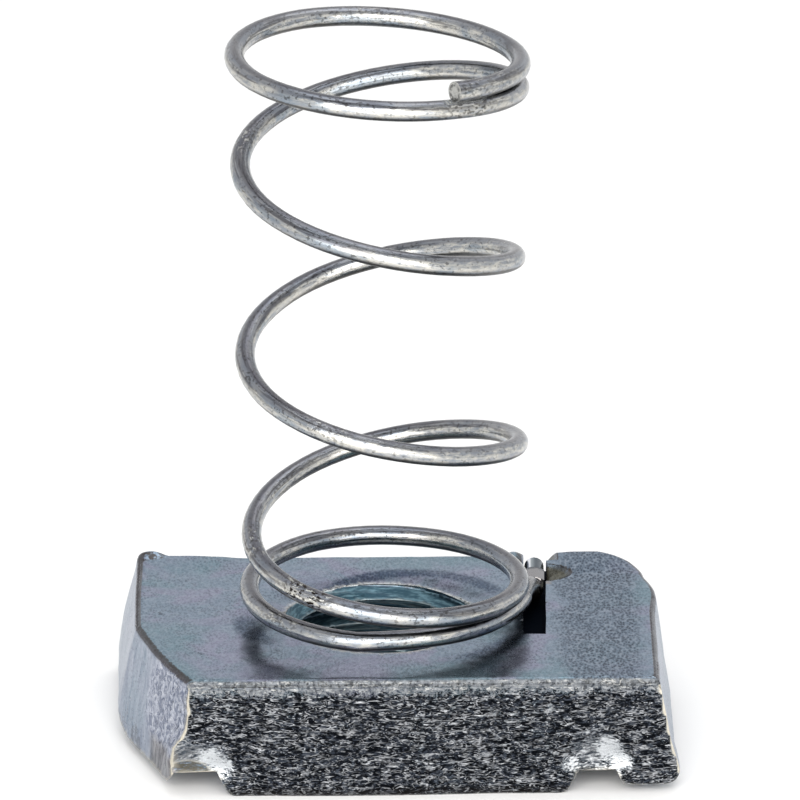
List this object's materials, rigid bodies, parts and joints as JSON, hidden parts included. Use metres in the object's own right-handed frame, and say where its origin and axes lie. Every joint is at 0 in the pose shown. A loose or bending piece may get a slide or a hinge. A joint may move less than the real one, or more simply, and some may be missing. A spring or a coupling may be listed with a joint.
{
  "type": "strut spring nut",
  "caption": "Zinc plated steel channel nut with a tapped hole, toothed grooves and two cut corners, and a tall open coil spring whose tail is staked in a slot of its top face.",
  "frame": {"origin": "on the axis of the tapped hole, in the plane of the land between the two toothed grooves", "axes": "+Z along the thread from the land up to the spring, +X along the nut's length towards the slot, +Y along its width towards the face where the slot opens"},
  "size_m": [0.0336, 0.0208, 0.0442],
  "materials": {
    "nut_zinc": "blue-white zinc plate over a rolled and sheared bar",
    "spring_zinc": "bright zinc plate over drawn wire"
  },
  "bodies": {
    "root": {"channel_nut": "nut_zinc", "spring": "spring_zinc"}
  },
  "joints": []
}
